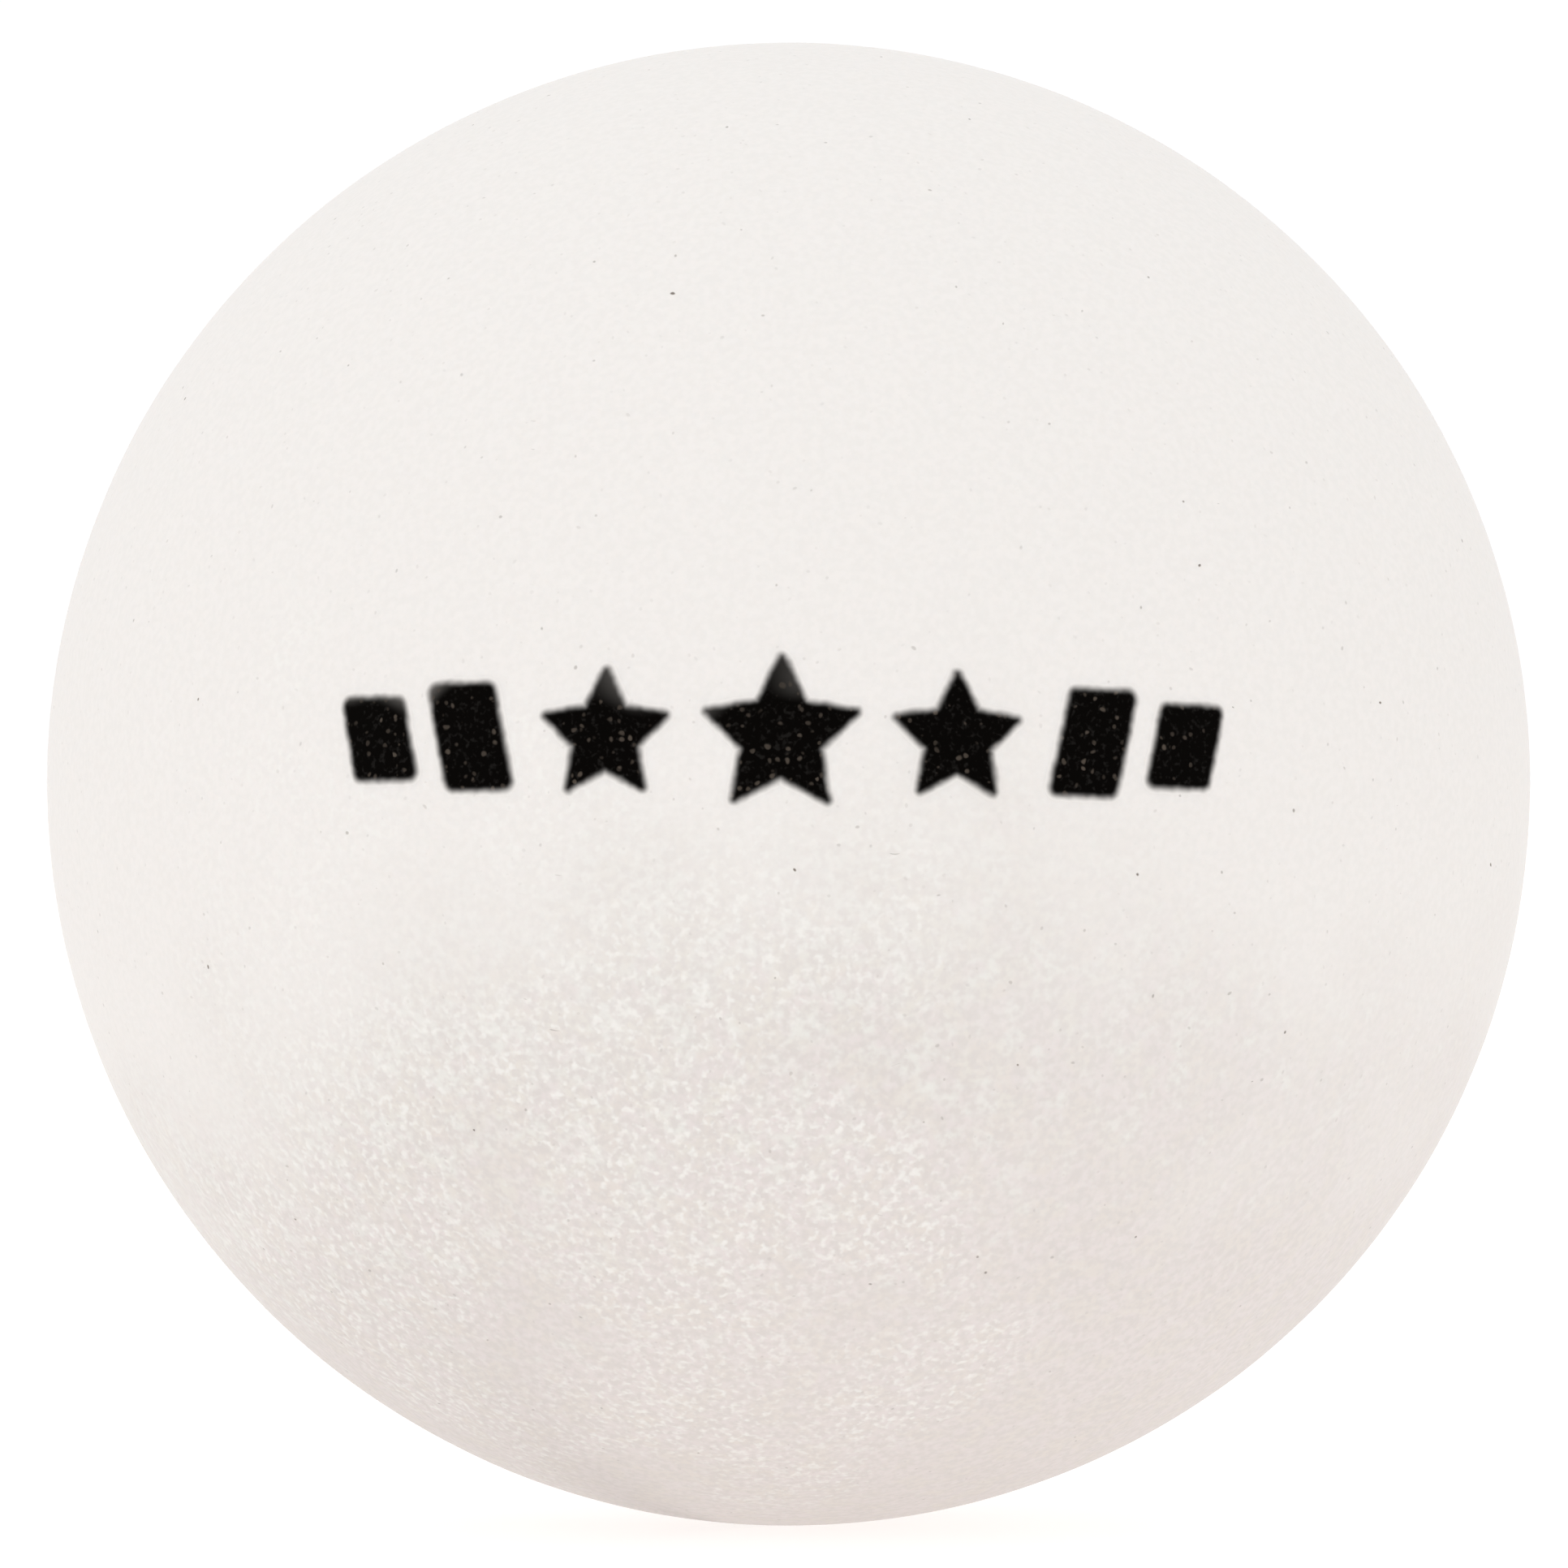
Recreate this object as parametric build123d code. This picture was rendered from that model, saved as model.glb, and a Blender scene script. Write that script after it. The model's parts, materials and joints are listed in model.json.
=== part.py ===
from build123d import *
import os
from math import cos, radians, sin, sqrt, tan, tau

# Table tennis ball, 40 mm: two half shells in a cemented lap joint, and a pad-printed mark.
#
# Millimetres, +Z up, origin at the ball's centre. The seam lies in the XZ plane, so its axis is Y,
# and the printed half faces -Y. Each sub-part is written to parts/NODE.step.

# Ball
BALL_RADIUS = 20.0
WALL = 0.49  # away from the seam
LAND_RADIUS = 19.2  # inside radius of the thick land behind the seam

# Lap joint: the front half's tongue enters the rear half's socket
CEMENT_FILM = 0.04  # thickness of the cement between the halves
TONGUE_RADIUS = 19.58  # outside of the tongue
TONGUE_LENGTH = 0.9  # past the seam plane
GROOVE_DEPTH = 0.02  # how far the cement line lies under the ball's surface
BEAD_RADIUS = 0.16  # cement squeezed out inside the ball

# Printed mark: stars with two leaning bars on each side, along a great circle of the ball
INK_FILM = 0.02
STAMP_REACH = 1.0  # of the flat outline's prism to each side of the ball's surface
MARK_TILT = 3.5  # degrees, of the mark's centre above the pole of the front half
MARK_ROLL = -0.6  # degrees, anticlockwise as seen from outside
MARK_SHIFT = -0.2  # along the surface, from the middle of the front half
STAR_POINTS = 5
STAR_PITCH = 4.5  # along the surface, from star to star
MIDDLE_STAR_RADIUS = 2.25  # to the points
SIDE_STAR_RADIUS = 1.9
STAR_WAIST = 0.5  # radius to the notches, as a share of the radius to the points
STAR_TIP_ROUND = 0.12
INNER_BAR_PLACE = 8.15  # along the surface, from the mark's centre to the bar's middle
BAR_PITCH = 2.65  # from the inner bar to the outer one
BAR_WIDTH = 1.95
BAR_HEIGHTS = {"inner": 2.8, "outer": 2.2}
BAR_LEAN = 12  # degrees from upright, away from the stars at the top
BAR_CORNER_ROUND = 0.25

# Worked out from the sizes above
INNER_RADIUS = BALL_RADIUS - WALL
LAND_END = sqrt(INNER_RADIUS**2 - LAND_RADIUS**2)  # where the land runs out into the wall
SOCKET_RADIUS = TONGUE_RADIUS + CEMENT_FILM
SOCKET_FLOOR = TONGUE_LENGTH + CEMENT_FILM
BUTT = CEMENT_FILM / 2  # each half's butt face stands this far from the seam plane
RIM_RADIUS = sqrt(BALL_RADIUS**2 - BUTT**2)  # outer edge of a butt face


def meridian(radius, side, start, end):
    """The arc from start to end of a half's profile circle. side is -1 in front and 1 behind."""
    halfway = (radius * sin(radians(45)), side * radius * cos(radians(45)))
    return ThreePointArc(start, halfway, end)


def half_shell(rim, side):
    """One half, turned about Y.

    rim runs from the outer edge of the butt face to the inner edge of the lap joint's step.
    """
    outer_pole = (0, side * BALL_RADIUS)
    inner_pole = (0, side * INNER_RADIUS)
    land_corner = (LAND_RADIUS, side * LAND_END)
    profile = [
        meridian(BALL_RADIUS, side, outer_pole, rim[0]),
        Polyline(*rim, land_corner),
        meridian(INNER_RADIUS, side, land_corner, inner_pole),
        Line(inner_pole, outer_pole),
    ]
    return revolve(make_face(profile), Axis.Y)


def front_half_shell():
    """The printed half, with the tongue."""
    rim = [
        (RIM_RADIUS, -BUTT),
        (TONGUE_RADIUS, -BUTT),
        (TONGUE_RADIUS, TONGUE_LENGTH),
        (LAND_RADIUS, TONGUE_LENGTH),
    ]
    return half_shell(rim, -1)


def rear_half_shell():
    """The plain half, with the socket."""
    rim = [
        (RIM_RADIUS, BUTT),
        (SOCKET_RADIUS, BUTT),
        (SOCKET_RADIUS, SOCKET_FLOOR),
        (LAND_RADIUS, SOCKET_FLOOR),
    ]
    return half_shell(rim, 1)


def seam_cement():
    """The cement that fills the lap joint, with the bead that it left inside."""
    line_radius = BALL_RADIUS - GROOVE_DEPTH
    film = Polyline(
        (line_radius, -BUTT),
        (line_radius, BUTT),
        (SOCKET_RADIUS, BUTT),
        (SOCKET_RADIUS, SOCKET_FLOOR),
        (LAND_RADIUS, SOCKET_FLOOR),
        (LAND_RADIUS, TONGUE_LENGTH),
        (TONGUE_RADIUS, TONGUE_LENGTH),
        (TONGUE_RADIUS, -BUTT),
        close=True,
    )
    mouth = (TONGUE_LENGTH + SOCKET_FLOOR) / 2
    whole_bead = Pos(LAND_RADIUS, mouth) * Circle(BEAD_RADIUS)
    inside_land = Pos(LAND_RADIUS - BEAD_RADIUS, mouth) * Rectangle(2 * BEAD_RADIUS, 2 * BEAD_RADIUS)
    return revolve(make_face(film) + (whole_bead & inside_land), Axis.Y)


def star(radius):
    """A five-pointed star, point up, with its tips rounded."""
    corners = []
    for i in range(2 * STAR_POINTS):
        reach = radius if i % 2 == 0 else STAR_WAIST * radius
        angle = tau * i / (2 * STAR_POINTS)
        corners.append((-reach * sin(angle), reach * cos(angle)))
    outline = make_face(Polyline(*corners, close=True))
    tips = outline.vertices().sort_by(lambda corner: corner.distance_to((0, 0, 0)))[-STAR_POINTS:]
    return fillet(tips, STAR_TIP_ROUND)


def bar(height, side):
    """A bar with rounded corners. Its top leans towards +X where side is 1, and towards -X where it is -1."""
    lean = side * tan(radians(BAR_LEAN)) * height / 2
    half_width = BAR_WIDTH / 2
    corners = [
        (-half_width - lean, -height / 2),
        (half_width - lean, -height / 2),
        (half_width + lean, height / 2),
        (-half_width + lean, height / 2),
    ]
    outline = make_face(Polyline(*corners, close=True))
    return fillet(outline.vertices(), BAR_CORNER_ROUND)


def printed(sketch, along):
    """The ink film of a flat sketch, laid on the ball this far along the mark's great circle."""
    tilt, roll, turn = radians(MARK_TILT), radians(MARK_ROLL), (along + MARK_SHIFT) / BALL_RADIUS
    centre = Vector(0, -cos(tilt), sin(tilt))
    level, upright = Vector(1, 0, 0), Vector(0, sin(tilt), cos(tilt))
    right = level * cos(roll) + upright * sin(roll)
    outward = centre * cos(turn) + right * sin(turn)
    across = right * cos(turn) - centre * sin(turn)
    plane = Plane(outward * (BALL_RADIUS - STAMP_REACH), x_dir=across, z_dir=outward)
    stamp = extrude(plane * sketch, 2 * STAMP_REACH)
    return stamp & (Sphere(BALL_RADIUS + INK_FILM) - Sphere(BALL_RADIUS))


def printed_mark():
    """Each island of the printed mark by name."""
    islands = {
        "printed_star_left": printed(star(SIDE_STAR_RADIUS), -STAR_PITCH),
        "printed_star_middle": printed(star(MIDDLE_STAR_RADIUS), 0),
        "printed_star_right": printed(star(SIDE_STAR_RADIUS), STAR_PITCH),
    }
    for step, (place, height) in enumerate(BAR_HEIGHTS.items()):
        along = INNER_BAR_PLACE + step * BAR_PITCH
        islands[f"printed_bar_left_{place}"] = printed(bar(height, -1), -along)
        islands[f"printed_bar_right_{place}"] = printed(bar(height, 1), along)
    return islands


def main():
    """Writes one STEP file for each sub-part."""
    nodes = {
        "front_half_shell": front_half_shell(),
        "rear_half_shell": rear_half_shell(),
        "seam_cement": seam_cement(),
        **printed_mark(),
    }
    os.makedirs("parts", exist_ok=True)
    for name, shape in nodes.items():
        export_step(shape, f"parts/{name}.step")


main()
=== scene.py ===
"""The looks of a table tennis ball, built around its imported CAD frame. Metres, in the frame's axes."""

import json
from math import asin, hypot, pi, radians, sqrt
from random import Random

import bmesh
import bpy
import numpy as np
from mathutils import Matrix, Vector, noise


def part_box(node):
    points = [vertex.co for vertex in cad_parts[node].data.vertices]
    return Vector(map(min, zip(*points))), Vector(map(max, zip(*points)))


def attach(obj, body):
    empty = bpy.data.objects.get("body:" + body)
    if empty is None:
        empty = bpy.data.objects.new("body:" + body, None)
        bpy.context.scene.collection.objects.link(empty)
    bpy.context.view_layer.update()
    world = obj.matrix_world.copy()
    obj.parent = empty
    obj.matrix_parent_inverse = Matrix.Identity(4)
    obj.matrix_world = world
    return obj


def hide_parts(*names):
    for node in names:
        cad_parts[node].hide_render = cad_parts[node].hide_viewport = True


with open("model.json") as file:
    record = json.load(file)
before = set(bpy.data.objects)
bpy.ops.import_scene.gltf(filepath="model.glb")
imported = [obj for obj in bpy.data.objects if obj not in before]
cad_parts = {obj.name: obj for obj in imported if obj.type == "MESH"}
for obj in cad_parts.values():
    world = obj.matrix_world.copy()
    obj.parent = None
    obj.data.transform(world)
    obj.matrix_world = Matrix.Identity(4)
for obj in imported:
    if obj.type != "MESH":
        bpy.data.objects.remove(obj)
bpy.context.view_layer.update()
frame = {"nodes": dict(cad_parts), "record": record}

MM = 0.001


def corners_of(node):
    """The corners of a CAD node's mesh."""
    return [vertex.co for vertex in frame["nodes"][node].data.vertices]


def corner_radii(node, start, end):
    """Distances from the seam's axis of a CAD node's corners between these two distances behind the seam."""
    return [hypot(corner.x, corner.z) for corner in corners_of(node) if start < corner.y < end]


# The ball, from the frame
BALL_RADIUS = frame["record"]["mounts"][0]["dims"]["r_mm"] * MM
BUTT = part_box("rear_half_shell")[0].y  # from the seam plane to each half's butt face
TONGUE_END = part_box("front_half_shell")[1].y
SOCKET_FLOOR = TONGUE_END + 2 * BUTT
LINE_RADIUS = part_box("seam_cement")[1].x  # outside of the cement

# The lap joint inside, from the corners of the CAD's rings
NEAR = 0.001 * MM
TONGUE_RADII = corner_radii("front_half_shell", TONGUE_END - NEAR, TONGUE_END + NEAR)
LAND_RADIUS = min(TONGUE_RADII)
TONGUE_RADIUS = max(TONGUE_RADII)
SOCKET_RADIUS = max(corner_radii("rear_half_shell", SOCKET_FLOOR - NEAR, SOCKET_FLOOR + NEAR))
BEAD_RADIUS = LAND_RADIUS - min(corner_radii("seam_cement", TONGUE_END - BALL_RADIUS, SOCKET_FLOOR + NEAR))
INNER_RADIUS = min(corner.length for corner in corners_of("rear_half_shell") if corner.y > BALL_RADIUS / 2)
LAND_END = sqrt(INNER_RADIUS**2 - LAND_RADIUS**2)

# Meshes
SKIN_CELLS = 60  # cells from a half shell's pole to its rim, at a quarter of the way round
SHOULDER = 0.34 * MM  # where the skin starts to roll over into the seam line
SEAM_DIP = 0.035 * MM  # how far the skin rolls over at the seam line
SEAM_DIP_WIDTH = 0.12 * MM
INK_CELL = 0.025 * MM
INK_SUNK = 0.004 * MM  # how far the film's underside lies in the plastic
INK_BLEED = 0.12 * MM  # how far the thinning ink has crept out past the outline
INK_EDGE = 0.17 * MM  # how far inside the outline the film reaches its full thickness
INK_RAGGED = 0.03 * MM
INK_COVER = "cover"  # the mesh attribute that goes from 0 at the film's rim to 1 where it is thick

# Camera and light
CAMERA_DISTANCE = 0.3
BALL_SHARE = 0.946  # of the frame's width that the ball fills
BALL_OFFSET = 0.13 * MM  # how far right of the frame's middle the ball stands
SKY = 1.02  # just bright enough to be pure white behind the ball
DIM_START = -110 * MM  # where the light table starts to brighten, going back
DIM_END = -12 * MM
FRONT_GLOW = 0.6
BACK_GLOW = 0.71


def unit(vector):
    """The vector at length 1."""
    return vector / np.linalg.norm(vector)


def waves(count, wavelength, height, seed):
    """Random plane waves, as rows of wave vector, phase and height."""
    random = Random(seed)
    rows = []
    for _ in range(count):
        heading = unit(np.array([random.gauss(0, 1) for _ in range(3)]))
        number = 2 * pi * BALL_RADIUS / (wavelength * random.uniform(0.7, 1.4))
        rows.append((*(heading * number), random.uniform(0, 2 * pi), height * random.uniform(0.5, 1)))
    return rows


MOULDING_WAVES = (
    waves(8, 26 * MM, 0.006 * MM, seed=3)
    + waves(14, 5 * MM, 0.0014 * MM, seed=5)
    + waves(22, 1.5 * MM, 0.0004 * MM, seed=8)
)


def skin_radius(directions):
    """The ball's outside radius in these directions: a sphere with faint moulding waves."""
    radius = np.full(len(directions), BALL_RADIUS)
    for *number, phase, height in MOULDING_WAVES:
        radius += height * np.sin(directions @ np.array(number) + phase)
    return radius


def cube_dome(cells):
    """Directions and quads of a half sphere about +Y, spread evenly as on a cube, with its rim in order."""
    numbers = {}
    quads = []

    def add_quad(*corners):
        quads.append([numbers.setdefault(corner, len(numbers)) for corner in corners])

    for a in range(-cells, cells):
        for b in range(-cells, cells):
            add_quad((a, cells, b), (a, cells, b + 1), (a + 1, cells, b + 1), (a + 1, cells, b))
        for y in range(cells):
            for side in (-cells, cells):
                add_quad((side, y, a), (side, y + 1, a), (side, y + 1, a + 1), (side, y, a + 1))
                add_quad((a, y, side), (a, y + 1, side), (a + 1, y + 1, side), (a + 1, y, side))
    on_cube = np.tan(np.array(list(numbers)) * pi / 4 / cells)
    directions = on_cube / np.linalg.norm(on_cube, axis=1, keepdims=True)
    rim = [number for corner, number in numbers.items() if corner[1] == 0]
    rim.sort(key=lambda number: np.arctan2(directions[number, 2], directions[number, 0]))
    return directions, quads, rim


def raised(directions, lowest):
    """The same directions squeezed towards +Y, so that the lowest stand at this latitude."""
    latitude = lowest + np.arcsin(directions[:, 1].clip(-1, 1)) * (1 - 2 * lowest / pi)
    azimuth = np.arctan2(directions[:, 2], directions[:, 0])
    level = np.cos(latitude)
    return np.stack((level * np.cos(azimuth), np.sin(latitude), level * np.sin(azimuth)), axis=1)


def mesh_piece(name, points, faces, material, replaced):
    """A closed mesh as a piece that rides on the ball and stands for a CAD node."""
    mesh = bpy.data.meshes.new(name)
    mesh.from_pydata([tuple(point) for point in points], [], faces)
    edit = bmesh.new()
    edit.from_mesh(mesh)
    bmesh.ops.recalc_face_normals(edit, faces=edit.faces)
    edit.to_mesh(mesh)
    edit.free()
    mesh.shade_smooth()
    mesh.set_sharp_from_angle(angle=radians(40))
    mesh.materials.append(material)
    piece = bpy.data.objects.new(name, mesh)
    bpy.context.scene.collection.objects.link(piece)
    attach(piece, "root")
    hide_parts(replaced)
    return piece


def strips(loops):
    """Quads between each loop of vertex numbers and the next."""
    faces = []
    for upper, lower in zip(loops, loops[1:]):
        for i in range(len(upper)):
            faces.append([upper[i - 1], upper[i], lower[i], lower[i - 1]])
    return faces


def seam_roll():
    """Radius and distance from the seam plane of the rings where the skin rolls over into the seam line."""
    rings = []
    for share in (0.72, 0.5, 0.33, 0.2, 0.1, 0):
        away = BUTT + share * (SHOULDER - BUTT)
        dip = SEAM_DIP * np.exp(-((away - BUTT) / SEAM_DIP_WIDTH) ** 2)
        rings.append((sqrt(BALL_RADIUS**2 - away**2) - dip, away))
    return rings


def half_shell(name, node, side, joint, material):
    """A half shell: its fine outer skin, the roll into the seam line, the joint's rings and its inner skin.

    joint has the joint's corners as radius and distance from the seam plane. side is -1 in front.
    """
    dome, quads, rim = cube_dome(SKIN_CELLS)
    azimuth = np.arctan2(dome[rim][:, 2], dome[rim][:, 0])
    turn = np.array((1, side, 1))
    outer_way = raised(dome, asin(SHOULDER / BALL_RADIUS)) * turn
    outer = outer_way * skin_radius(outer_way)[:, None]
    inner = raised(dome, asin(LAND_END / INNER_RADIUS)) * turn * INNER_RADIUS
    rings = []
    level = np.zeros(len(rim))
    for radius, away in seam_roll() + joint + [(LAND_RADIUS, LAND_END)]:
        ring = (np.cos(azimuth) * radius, level + side * away, np.sin(azimuth) * radius)
        rings.append(np.stack(ring, axis=1))
    points = np.concatenate([outer, *rings, inner])
    loops = [rim]
    for i in range(len(rings)):
        start = len(outer) + i * len(rim)
        loops.append(list(range(start, start + len(rim))))
    inner_start = len(outer) + len(rings) * len(rim)
    loops.append([inner_start + number for number in rim])
    inner_quads = [[inner_start + number for number in quad] for quad in quads]
    return mesh_piece(name, points, quads + strips(loops) + inner_quads, material, node)


def cement_ring(material):
    """The cement that fills the lap joint, with its bead inside."""
    bead_steps = 8
    mouth = (TONGUE_END + SOCKET_FLOOR) / 2
    profile = [
        (LINE_RADIUS - SEAM_DIP, -BUTT),
        (LINE_RADIUS - SEAM_DIP / 2, 0),
        (LINE_RADIUS - SEAM_DIP, BUTT),
        (SOCKET_RADIUS, BUTT),
        (SOCKET_RADIUS, SOCKET_FLOOR),
        (LAND_RADIUS, SOCKET_FLOOR),
    ]
    for i in range(bead_steps + 1):
        angle = pi * i / bead_steps
        profile.append((LAND_RADIUS - BEAD_RADIUS * np.sin(angle), mouth + BEAD_RADIUS * np.cos(angle)))
    profile += [
        (LAND_RADIUS, TONGUE_END),
        (TONGUE_RADIUS, TONGUE_END),
        (TONGUE_RADIUS, -BUTT),
    ]
    around = 8 * SKIN_CELLS
    points = []
    loops = []
    for radius, y in profile:
        loops.append(list(range(len(points), len(points) + around)))
        for i in range(around):
            azimuth = 2 * pi * i / around
            points.append((radius * np.cos(azimuth), y, radius * np.sin(azimuth)))
    faces = strips(loops + loops[:1])
    return mesh_piece("seam_cement_ring", points, faces, material, "seam_cement")


def printed_outline(node):
    """The outline of a printed node as flat segments, with the flat axes and the film's thickness."""
    mesh = frame["nodes"][node].data
    points = np.array([vertex.co for vertex in mesh.vertices])
    radii = np.linalg.norm(points, axis=1)
    film = radii.max() - BALL_RADIUS
    outward = unit(points.mean(axis=0))
    across = unit(np.cross((0, 0, 1), -outward)) * -1
    axes = np.array((across, np.cross(outward, across), outward))
    sides = {}
    for polygon in mesh.polygons:
        if all(radii[number] > BALL_RADIUS + film / 2 for number in polygon.vertices):
            corners = [tuple(np.round(points[number] @ axes[:2].T, 7)) for number in polygon.vertices]
            for start, end in zip(corners, corners[1:] + corners[:1]):
                pair = frozenset((start, end))
                sides[pair] = sides.get(pair, 0) + 1
    segments = np.array([sorted(pair) for pair, uses in sides.items() if uses == 1 and len(pair) == 2])
    return segments, axes, film


def inside_distance(spots, segments):
    """Distance from each flat spot to the outline, positive inside it."""
    start = segments[:, 0]
    along = segments[:, 1] - start
    offset = spots[:, None] - start
    share = ((offset * along).sum(2) / (along**2).sum(1)).clip(0, 1)
    distance = np.linalg.norm(offset - share[..., None] * along, axis=2).min(axis=1)
    spans = (start[:, 1] > spots[:, None, 1]) != (segments[:, 1, 1] > spots[:, None, 1])
    rise = np.where(along[:, 1] == 0, 1, along[:, 1])
    passes = spans & (offset[:, :, 0] < offset[:, :, 1] / rise * along[:, 0])
    return np.where(passes.sum(axis=1) % 2 == 1, distance, -distance)


def ragged(spots, distance, seed):
    """The distance from an outline as ink leaves it, with a rough edge."""
    rough = [
        noise.noise(Vector((u / (0.45 * MM), v / (0.45 * MM), seed)))
        + 0.6 * noise.noise(Vector((u / (0.17 * MM), v / (0.17 * MM), seed + 0.5)))
        for u, v in spots
    ]
    return distance + INK_RAGGED * np.array(rough)


def filled(us, vs, field):
    """Flat points, their field values and faces that cover the field above zero, cut along its zero line."""
    numbers = {}
    points = []
    values = []
    faces = []

    def number_of(key, point, value):
        if key not in numbers:
            numbers[key] = len(points)
            points.append(point)
            values.append(value)
        return numbers[key]

    highest = np.maximum.reduce((field[:-1, :-1], field[1:, :-1], field[1:, 1:], field[:-1, 1:]))
    for i, j in zip(*np.nonzero(highest > 0)):
        corners = ((i, j), (i + 1, j), (i + 1, j + 1), (i, j + 1))
        face = []
        for here, there in zip(corners, corners[1:] + corners[:1]):
            value, beyond = field[here], field[there]
            if value > 0:
                face.append(number_of(here, (us[here[0]], vs[here[1]]), value))
            if (value > 0) != (beyond > 0):
                share = value / (value - beyond)
                u = us[here[0]] + share * (us[there[0]] - us[here[0]])
                v = vs[here[1]] + share * (vs[there[1]] - vs[here[1]])
                face.append(number_of(frozenset((here, there)), (u, v), 0))
        faces.append(face)
    return np.array(points), np.array(values), faces


def ink_island(name, node, seed, material):
    """One island of the printed mark: the CAD node's outline as a thin ragged film that follows the skin."""
    segments, axes, film = printed_outline(node)
    margin = INK_BLEED + 3 * INK_RAGGED
    low = segments.min(axis=(0, 1)) - margin
    high = segments.max(axis=(0, 1)) + margin
    us = np.arange(low[0], high[0], INK_CELL)
    vs = np.arange(low[1], high[1], INK_CELL)
    spots = np.stack(np.meshgrid(us, vs, indexing="ij"), axis=2).reshape(-1, 2)
    field = ragged(spots, inside_distance(spots, segments), seed) + INK_BLEED
    flat, depth, top_faces = filled(us, vs, field.reshape(len(us), len(vs)))
    share = (depth / (INK_BLEED + INK_EDGE)).clip(0, 1)
    rise = np.sqrt(BALL_RADIUS**2 - (flat**2).sum(axis=1))
    directions = np.column_stack((flat, rise)) @ axes / BALL_RADIUS
    skin = skin_radius(directions)
    height = film * (0.1 + 0.9 * share)
    top = directions * (skin + height)[:, None]
    bottom = directions * (skin - INK_SUNK)[:, None]
    count = len(flat)
    edges = {(face[i - 1], face[i]) for face in top_faces for i in range(len(face))}
    walls = [[b, a, a + count, b + count] for a, b in sorted(edges) if (b, a) not in edges]
    bottom_faces = [[number + count for number in reversed(face)] for face in top_faces]
    points = np.concatenate((top, bottom))
    piece = mesh_piece(name, points, top_faces + walls + bottom_faces, material, node)
    cover = piece.data.attributes.new(INK_COVER, "FLOAT", "POINT")
    cover.data.foreach_set("value", np.tile(share, 2))
    return piece


class Shader:
    """A material's Principled shader, with helpers that add nodes in front of it. Lengths are in mm."""

    def __init__(self, name):
        self.material = bpy.data.materials.new(name)
        self.material.use_nodes = True
        self.tree = self.material.node_tree
        self.principled = self.tree.nodes["Principled BSDF"]
        place = self.tree.nodes.new("ShaderNodeTexCoord")
        self.place = self.math_vector("MULTIPLY", place.outputs["Object"], (1 / MM, 1 / MM, 1 / MM))
        split = self.tree.nodes.new("ShaderNodeSeparateXYZ")
        self.link(self.place, split.inputs[0])
        self.x, self.y, self.z = split.outputs

    def link(self, source, target):
        """Joins an output to an input."""
        self.tree.links.new(source, target)

    def fill(self, socket, value):
        """Sets an input to a number or colour, or links an output to it."""
        if isinstance(value, bpy.types.NodeSocket):
            self.link(value, socket)
        else:
            socket.default_value = value

    def math(self, operation, *values):
        """A maths node's output."""
        node = self.tree.nodes.new("ShaderNodeMath")
        node.operation = operation
        for socket, value in zip(node.inputs, values):
            self.fill(socket, value)
        return node.outputs[0]

    def square(self, value):
        """The value times itself."""
        return self.math("MULTIPLY", value, value)

    def math_vector(self, operation, *values):
        """A vector maths node's output."""
        node = self.tree.nodes.new("ShaderNodeVectorMath")
        node.operation = operation
        for socket, value in zip(node.inputs, values):
            self.fill(socket, value)
        return node.outputs[0]

    def step(self, value, low, high, to_low=0.0, to_high=1.0):
        """The value eased from to_low at low to to_high at high."""
        node = self.tree.nodes.new("ShaderNodeMapRange")
        node.interpolation_type = "SMOOTHSTEP"
        for socket, part in zip(node.inputs, (value, low, high, to_low, to_high)):
            self.fill(socket, part)
        return node.outputs[0]

    def noise(self, size, detail=2.0, distortion=0.0, offset=0.0):
        """Smooth noise with features of this size."""
        node = self.tree.nodes.new("ShaderNodeTexNoise")
        shifted = self.math_vector("ADD", self.place, (offset, offset, offset))
        self.link(shifted, node.inputs["Vector"])
        node.inputs["Scale"].default_value = 1 / size
        node.inputs["Detail"].default_value = detail
        node.inputs["Distortion"].default_value = distortion
        return node.outputs["Fac"]

    def dots(self, spacing, radius, share, weakest, stretch=(1, 1, 1), offset=0.0):
        """Soft dots of this radius in this share of the cells: a few strong, and most near the weakest."""
        warp = self.tree.nodes.new("ShaderNodeTexNoise")
        self.link(self.place, warp.inputs["Vector"])
        warp.inputs["Scale"].default_value = 1 / spacing
        warp.inputs["Detail"].default_value = 0
        push = spacing / 2
        pushed = self.math_vector("MULTIPLY_ADD", warp.outputs["Color"], (push, push, push), self.place)
        placed = self.math_vector("MULTIPLY_ADD", pushed, stretch, (offset, offset, offset))
        node = self.tree.nodes.new("ShaderNodeTexVoronoi")
        self.link(placed, node.inputs["Vector"])
        node.inputs["Scale"].default_value = 1 / spacing
        near = self.step(node.outputs["Distance"], radius / spacing, 0.4 * radius / spacing)
        split = self.tree.nodes.new("ShaderNodeSeparateColor")
        self.link(node.outputs["Color"], split.inputs[0])
        chosen = self.math("LESS_THAN", split.outputs[0], share)
        strength = self.math("MULTIPLY", self.math("POWER", split.outputs[1], -0.5), weakest)
        return self.math("MULTIPLY", near, self.math("MULTIPLY", chosen, self.math("MINIMUM", strength, 1)))

    def attribute(self, name):
        """A number stored on the mesh."""
        node = self.tree.nodes.new("ShaderNodeAttribute")
        node.attribute_name = name
        return node.outputs["Fac"]

    def mix(self, share, first, second):
        """A mix of two colours."""
        node = self.tree.nodes.new("ShaderNodeMix")
        node.data_type = "RGBA"
        colour_inputs = [socket for socket in node.inputs if socket.type == "RGBA"]
        self.fill(node.inputs["Factor"], share)
        self.fill(colour_inputs[0], first)
        self.fill(colour_inputs[1], second)
        return next(socket for socket in node.outputs if socket.type == "RGBA")

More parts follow.
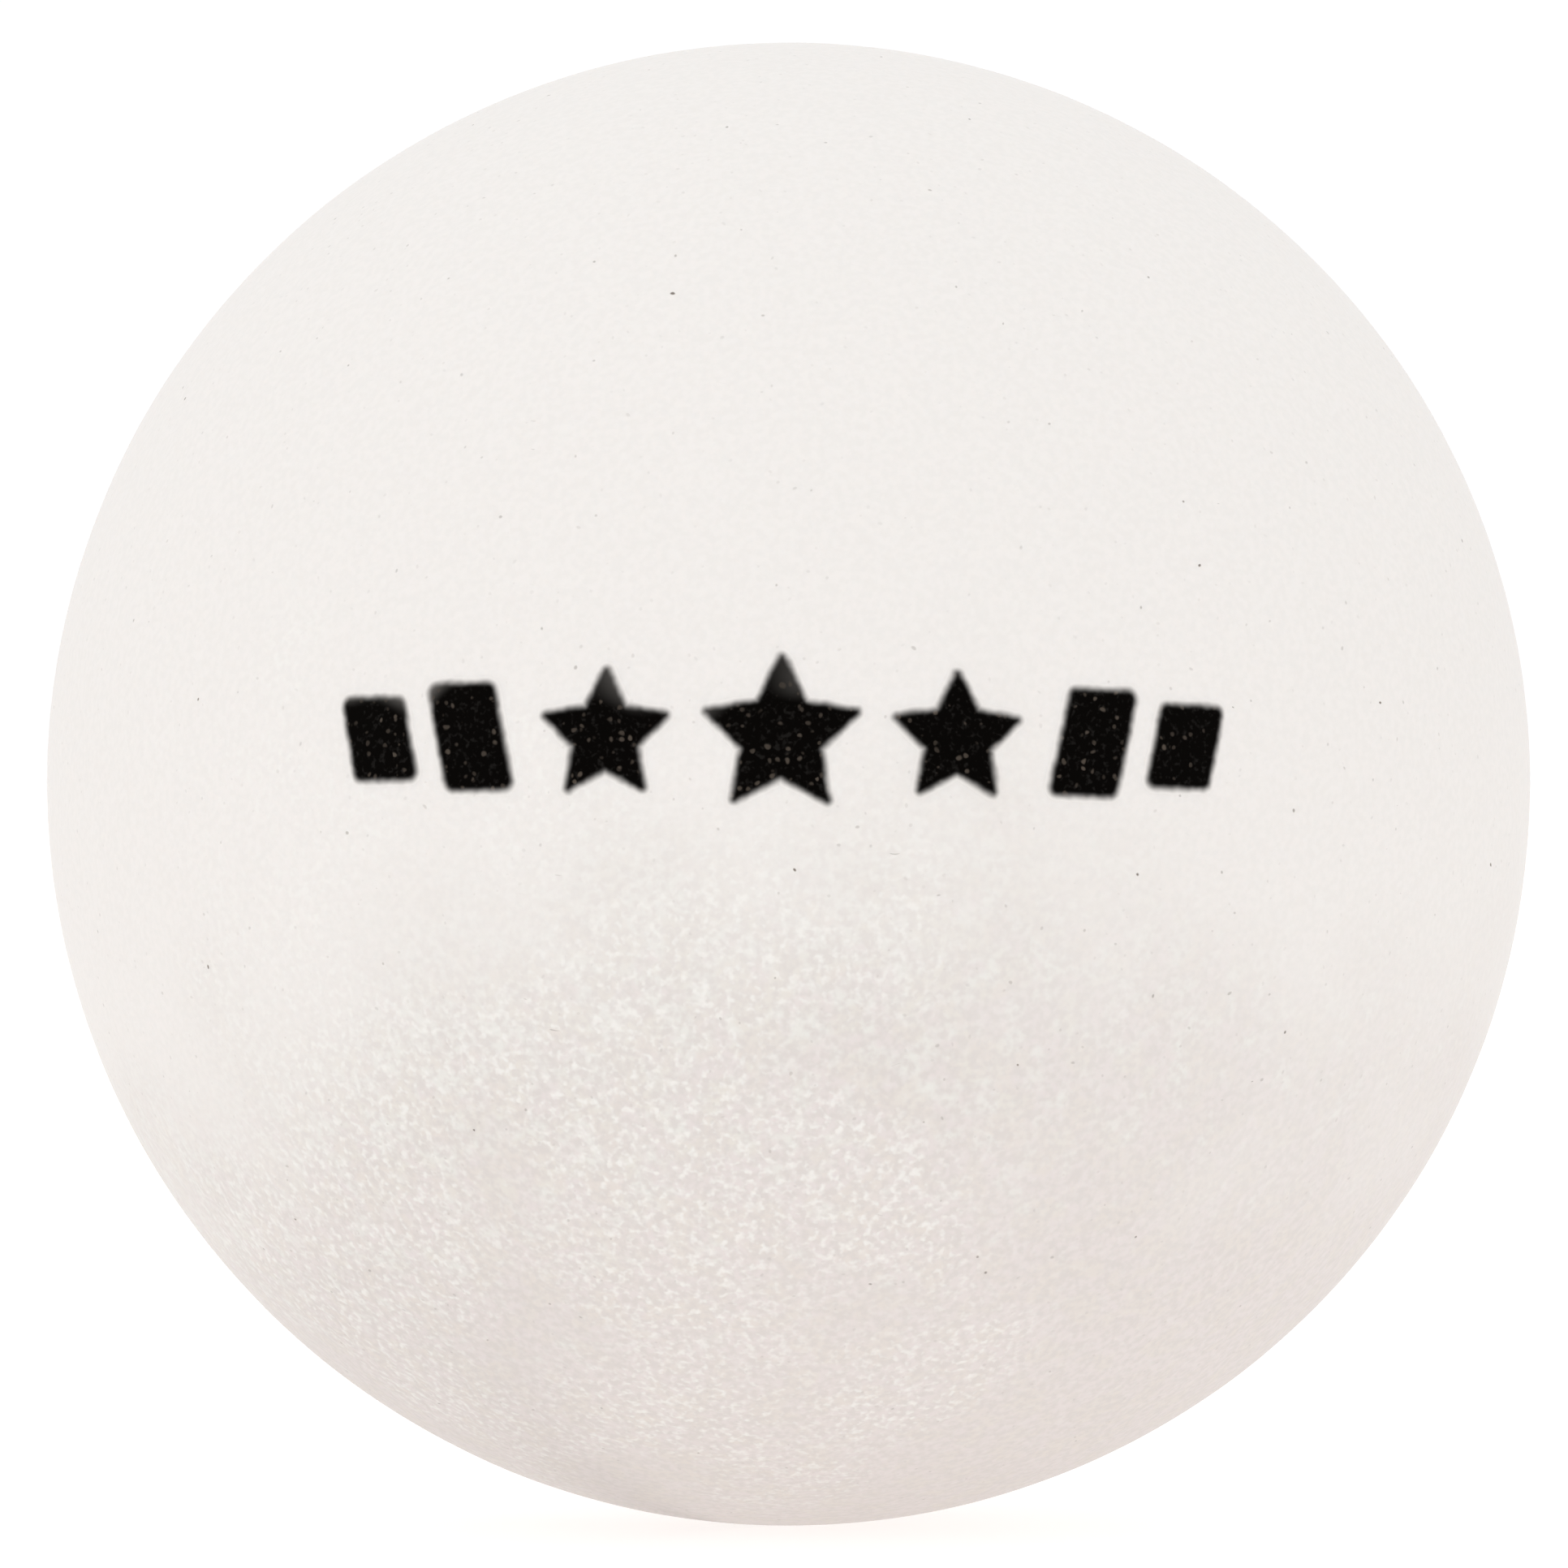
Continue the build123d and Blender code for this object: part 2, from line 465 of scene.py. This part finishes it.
    def bump(self, height, depth):
        """Relief of this depth where the height goes from 0 to 1."""
        node = self.tree.nodes.new("ShaderNodeBump")
        node.inputs["Distance"].default_value = depth * MM
        self.link(height, node.inputs["Height"])
        self.link(node.outputs["Normal"], self.principled.inputs["Normal"])


def plastic_look(s):
    """The white plastic's colour and relief: nearly even above, grainy, faintly pink and darker below, the
    darker tone below being painted shade.
    """
    white = (0.82, 0.794, 0.772, 1)
    soft_white = (0.792, 0.769, 0.746, 1)
    green_white = (0.768, 0.76, 0.726, 1)
    pink = (0.742, 0.694, 0.68, 1)
    tan_patch = (0.733, 0.692, 0.642, 1)
    hollow_shade_tone = (0.68, 0.643, 0.62, 1)
    fleck_white = (0.84, 0.829, 0.801, 1)
    dirt = (0.22, 0.19, 0.165, 1)

    # How grainy the skin is, and how far painted shade darkens it: little above and at the sides, much
    # below, with a wavering front between
    drift = s.math("MULTIPLY", s.noise(9, detail=2, offset=11), 0.9)
    inward = s.math("MULTIPLY_ADD", s.square(s.x), -0.001, drift)
    granular_and_shade = s.step(s.math("MULTIPLY_ADD", s.z, -MM / BALL_RADIUS, inward), 0.3, 1)

    grain = s.noise(0.2, detail=2)
    even = s.mix(s.step(grain, 0.3, 0.7), soft_white, white)

    # The grainy ground: green-white, and pinker low down and to the right, in small patches. Its darker,
    # warmer tone low down is painted shade over the real mottle
    patches = s.math("MULTIPLY", s.noise(0.7, detail=2, offset=40), 36)
    rightward = s.math("MULTIPLY_ADD", s.x, 0.25, patches)
    rosy = s.step(s.math("SUBTRACT", rightward, s.z), 20, 30)
    ground = s.mix(rosy, green_white, pink)
    ground = s.mix(s.step(s.noise(0.9, detail=1, offset=60), 0.46, 0.62, 0, 0.6), ground, tan_patch)
    # Painted shade: small darker spots stand in for shade in tiny hollows of the grainy skin
    hollow_shade = s.step(s.noise(0.22, detail=1, offset=31), 0.68, 0.3, 0, 0.85)
    ground = s.mix(hollow_shade, ground, hollow_shade_tone)
    # Painted shade: the grainy ground is darker than the even white, so the ball is painted darker below
    colour = s.mix(granular_and_shade, even, ground)

    # White flecks, single and run together, thickest below the mark and a little to the left
    fleck = s.step(s.noise(0.2, detail=1, offset=5), 0.45, 0.78)
    beside = s.math("ADD", s.x, 5)
    below = s.math("ADD", s.z, 8)
    away = s.math("ADD", s.square(beside), s.square(below))
    zone = s.math("MULTIPLY_ADD", away, -0.0016, s.noise(5, detail=1, offset=70))
    thick = s.math("MULTIPLY_ADD", granular_and_shade, 0.2, 0.7)
    fleck_share = s.math("MULTIPLY", s.step(zone, 0.22, 0.5, 0.2, 1), thick)
    colour = s.mix(s.math("MULTIPLY", fleck, fleck_share), colour, fleck_white)

    # Dirt: a few dark specks among many faint ones, and short hairs
    specks = s.dots(0.42, 0.06, 0.75, weakest=0.085)
    hairs = s.dots(0.4, 0.02, 0.2, weakest=0.15, stretch=(0.09, 0.7, 1), offset=21)
    colour = s.mix(s.math("MAXIMUM", specks, hairs), colour, dirt)
    return colour, s.math("ADD", grain, s.math("MULTIPLY", fleck, granular_and_shade))


def shell_plastic():
    """Matte white plastic with a fine relief, smoother along the seam."""
    s = Shader("shell_plastic")
    seam_tone = (0.74, 0.71, 0.67, 1)
    colour, relief = plastic_look(s)
    seam = s.step(s.math("ABSOLUTE", s.y), 0.3, 0.02, 0, 0.55)
    s.link(s.mix(seam, colour, seam_tone), s.principled.inputs["Base Color"])
    rough = s.math("MULTIPLY_ADD", relief, 0.1, 0.52)
    s.link(s.math("SUBTRACT", rough, s.math("MULTIPLY", seam, 0.2)), s.principled.inputs["Roughness"])
    s.bump(relief, depth=0.004)
    s.principled.inputs["Specular IOR Level"].default_value = 0.12
    s.principled.inputs["Subsurface Weight"].default_value = 0.12
    s.principled.inputs["Subsurface Radius"].default_value = (1.0, 0.8, 0.65)
    s.principled.inputs["Subsurface Scale"].default_value = 0.5 * MM
    return s.material


def printing_ink():
    """Near-black dusty ink, greyer in places at the mark's top and thin over the plastic at its rim."""
    s = Shader("printing_ink")
    black = (0.0012, 0.0008, 0.0005, 1)
    grey_ink = (0.14, 0.132, 0.124, 1)
    dust = (0.07, 0.057, 0.046, 1)

    # The ink turns greyest high up and to the left
    leftward = s.math("MULTIPLY_ADD", s.x, -0.02, s.noise(2.8, detail=1, offset=3))
    greyer_high = s.step(s.math("MULTIPLY_ADD", s.z, 0.25, leftward), 1.08, 1.38, 0, 0.95)
    worn = s.step(s.noise(0.13, detail=1), 0.52, 0.78, 0, 0.06)
    colour = s.mix(s.math("MAXIMUM", greyer_high, worn), black, grey_ink)
    colour = s.mix(s.dots(0.25, 0.085, 0.6, weakest=0.4), colour, dust)

    plastic, relief = plastic_look(s)
    cover = s.attribute(INK_COVER)
    thickness = s.math("SUBTRACT", 1, s.math("POWER", s.math("SUBTRACT", 1, s.step(cover, 0, 1)), 1.6))
    s.link(s.mix(thickness, plastic, colour), s.principled.inputs["Base Color"])
    s.principled.inputs["Roughness"].default_value = 0.7
    s.bump(relief, depth=0.004)
    s.principled.inputs["Specular IOR Level"].default_value = 0.025
    return s.material


def dried_cement():
    """Dried solvent cement: slightly yellow and glossy, with small bubbles."""
    s = Shader("dried_cement")
    amber = (0.70, 0.65, 0.56, 1)
    pale = (0.80, 0.77, 0.71, 1)
    run = s.noise(1.2, detail=3, distortion=0.4)
    bubbles = s.dots(0.5, 0.06, 0.4, weakest=0.5)
    colour = s.mix(s.step(run, 0.35, 0.65), amber, pale)
    s.link(s.mix(s.math("MULTIPLY", bubbles, 0.4), colour, pale), s.principled.inputs["Base Color"])
    s.link(s.math("MULTIPLY_ADD", run, 0.2, 0.2), s.principled.inputs["Roughness"])
    s.bump(s.math("SUBTRACT", run, bubbles), depth=0.01)
    return s.material


def studio():
    """A light table that dims to its front, under a white sky, with soft lights above and at the left."""
    world = bpy.data.worlds.new("studio")
    bpy.context.scene.world = world
    world.use_nodes = True
    world.node_tree.nodes["Background"].inputs["Color"].default_value = (1, 1, 1, 1)
    world.node_tree.nodes["Background"].inputs["Strength"].default_value = SKY

    s = Shader("light_table")
    speckle = s.noise(40, detail=3)
    s.link(s.mix(speckle, (0.36, 0.36, 0.36, 1), (0.39, 0.39, 0.39, 1)), s.principled.inputs["Base Color"])
    s.principled.inputs["Roughness"].default_value = 0.8
    s.principled.inputs["Emission Color"].default_value = (1, 0.962, 0.94, 1)
    glow = s.step(s.y, DIM_START / MM, DIM_END / MM, FRONT_GLOW, BACK_GLOW)
    s.link(glow, s.principled.inputs["Emission Strength"])
    reach = 30
    mesh = bpy.data.meshes.new("floor")
    corners = [(-reach, -reach), (reach, -reach), (reach, reach), (-reach, reach)]
    mesh.from_pydata([(x, y, -BALL_RADIUS) for x, y in corners], [], [(0, 1, 2, 3)])
    mesh.materials.append(s.material)
    floor = bpy.data.objects.new("floor", mesh)
    bpy.context.scene.collection.objects.link(floor)

    soft_light("light_above", (-0.07, -0.4, 0.5), 0.6, 0.4)
    soft_light("light_left", (-0.6, -0.15, 0.02), 0.4, 0.12)


def soft_light(name, place, size, watts):
    """A square soft light that faces the ball."""
    lamp = bpy.data.lights.new(name, "AREA")
    lamp.size = size
    lamp.energy = watts
    light = bpy.data.objects.new(name, lamp)
    light.location = place
    light.rotation_euler = (-Vector(place)).to_track_quat("-Z", "Y").to_euler()
    bpy.context.scene.collection.objects.link(light)


def camera():
    """A level camera in front of the ball, which fills most of the frame."""
    lens = bpy.data.cameras.new("camera")
    half_width = BALL_RADIUS / sqrt(CAMERA_DISTANCE**2 - BALL_RADIUS**2) / BALL_SHARE
    lens.lens = lens.sensor_width / 2 / half_width
    lens.clip_start = CAMERA_DISTANCE / 100
    shot = bpy.data.objects.new("camera", lens)
    shot.location = (-BALL_OFFSET, -CAMERA_DISTANCE, 0)
    shot.rotation_euler = (radians(90), 0, 0)
    bpy.context.scene.collection.objects.link(shot)
    bpy.context.scene.camera = shot


plastic = shell_plastic()
tongue = [(TONGUE_RADIUS, BUTT), (TONGUE_RADIUS, -TONGUE_END), (LAND_RADIUS, -TONGUE_END)]
socket = [(SOCKET_RADIUS, BUTT), (SOCKET_RADIUS, SOCKET_FLOOR), (LAND_RADIUS, SOCKET_FLOOR)]
half_shell("front_half_skin", "front_half_shell", -1, tongue, plastic)
half_shell("rear_half_skin", "rear_half_shell", 1, socket, plastic)
cement_ring(dried_cement())

ink = printing_ink()
islands = sorted(node for node in frame["nodes"] if node.startswith("printed_"))
for seed, node in enumerate(islands):
    ink_island(node.replace("printed", "ink"), node, seed, ink)

camera()
studio()
bpy.context.scene.view_settings.view_transform = "Standard"
